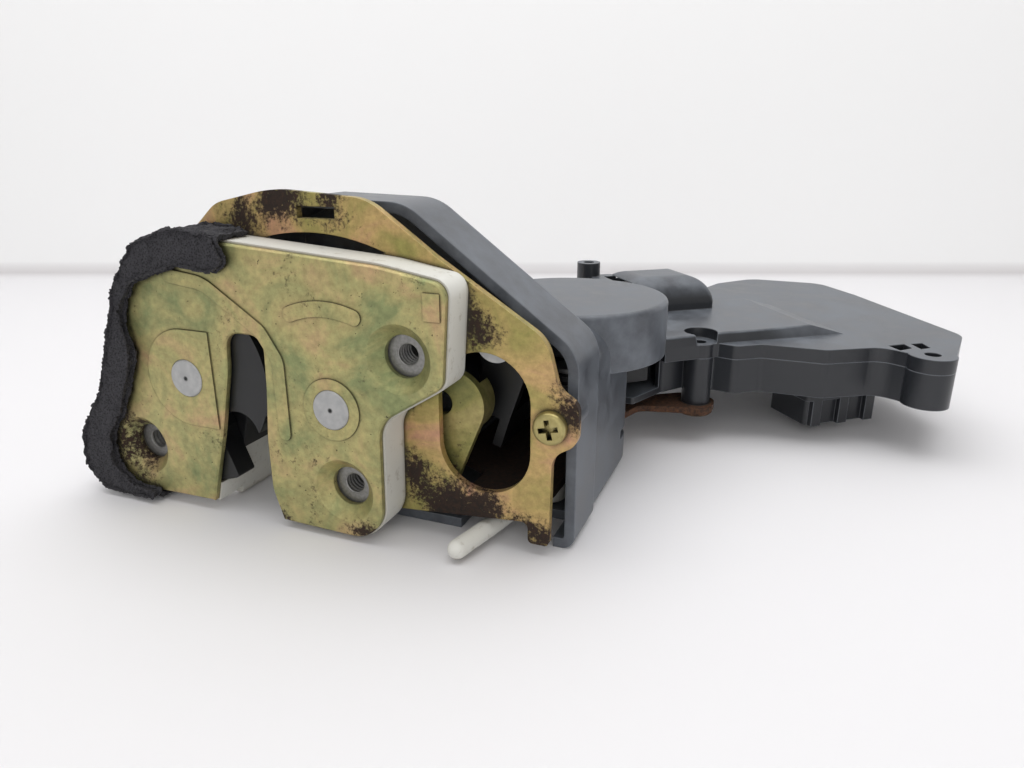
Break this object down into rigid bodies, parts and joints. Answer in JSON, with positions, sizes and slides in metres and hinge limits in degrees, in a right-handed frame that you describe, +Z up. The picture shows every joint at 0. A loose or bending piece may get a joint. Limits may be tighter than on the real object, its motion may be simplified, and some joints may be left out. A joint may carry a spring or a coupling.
{
  "type": "door latch actuator",
  "caption": "Power door latch actuator: fork latch with a striker slot, face and lever plates, lever housing, child lock bar and a worm-driven lock motor case.",
  "frame": {"origin": "on the lever housing's flat foot, below the lever plate's inner edge", "axes": "+Z up, -Y out of the latch face towards the striker, +X along the latch face from the striker slot to the housing"},
  "size_m": [0.206, 0.1994, 0.0742],
  "materials": {
    "yellow_zinc": "yellow chromate over zinc, worn",
    "zinc_steel": "bright zinc",
    "dark_steel": "oiled",
    "rusty_steel": "rusted",
    "white_plastic": "satin",
    "black_plastic": "satin",
    "nylon": "satin",
    "foam": "open cell foam",
    "rubber": "matte",
    "brass_pins": "tinned brass"
  },
  "bodies": {
    "latch": {"face_plate": "yellow_zinc", "fork_pin": "zinc_steel", "pawl_pin": "zinc_steel", "latch_body": "white_plastic", "threaded_bushes": "zinc_steel", "base_plate": "yellow_zinc", "foam_seal": "foam", "striker_bumper": "rubber", "lever_pin": "zinc_steel", "base_screw": "zinc_steel", "sector_pin": "zinc_steel", "lock_lever_pin": "zinc_steel", "main_housing": "black_plastic", "actuator_case": "black_plastic", "actuator_cover": "black_plastic", "wheel_pin": "zinc_steel", "motor": "zinc_steel", "motor_end_cap": "nylon", "connector_terminals": "brass_pins", "boss_rivet": "rusty_steel", "fork_spring": "dark_steel"},
    "fork": {"fork": "black_plastic"},
    "pawl": {"pawl": "dark_steel"},
    "opening_lever": {"opening_lever": "yellow_zinc"},
    "lock_sector": {"lock_sector": "nylon"},
    "lock_lever": {"lock_lever": "black_plastic"},
    "worm_wheel": {"worm_wheel": "nylon"},
    "motor_shaft": {"motor_shaft": "zinc_steel"},
    "child_lock_lever": {"child_lock_lever": "white_plastic"}
  },
  "joints": [
    {"name": "fork_turn", "type": "hinge", "parent": "latch", "child": "fork", "pos_m": [-0.0604, -0.035, 0.0331], "axis": [0, -1, 0], "range_deg": [0, 68]},
    {"name": "opening_lever_turn", "type": "hinge", "parent": "latch", "child": "opening_lever", "pos_m": [-0.007, -0.0254, 0.01], "axis": [0, 1, 0], "range_deg": [0, 12]},
    {"name": "pawl_turn", "type": "hinge", "parent": "latch", "child": "pawl", "pos_m": [-0.0222, -0.035, 0.0307], "axis": [0, -1, 0], "range_deg": [0, 13.5]},
    {"name": "lock_turn", "type": "hinge", "parent": "latch", "child": "lock_sector", "pos_m": [0.01, 0.023, 0.0211], "axis": [0, 0, 1], "range_deg": [0, 30]},
    {"name": "lock_lever_turn", "type": "hinge", "parent": "latch", "child": "lock_lever", "pos_m": [0.01, -0.015, 0.0455], "axis": [0, -1, 0], "range_deg": [0, 34.3]},
    {"name": "worm_wheel_turn", "type": "hinge", "parent": "latch", "child": "worm_wheel", "pos_m": [0.01063, 0.05899, 0.0245], "axis": [0, 0, 1], "range_deg": [-78, 0]},
    {"name": "motor_turn", "type": "hinge", "parent": "latch", "child": "motor_shaft", "pos_m": [0.01867, 0.08481, 0.027], "axis": [0.7771, 0.6293, 0], "range_deg": [-624, 0]},
    {"name": "child_lock_turn", "type": "hinge", "parent": "latch", "child": "child_lock_lever", "pos_m": [0.0145, -0.007, 0.0056], "axis": [0, 0, 1], "range_deg": [0, 14]}
  ],
  "couplings": [
    {"joint": "pawl_turn", "follows": "opening_lever_turn", "ratio": 1.125},
    {"joint": "lock_lever_turn", "follows": "lock_turn", "ratio": 1.14},
    {"joint": "worm_wheel_turn", "follows": "lock_turn", "ratio": -2.6},
    {"joint": "motor_turn", "follows": "lock_turn", "ratio": -20.8}
  ]
}
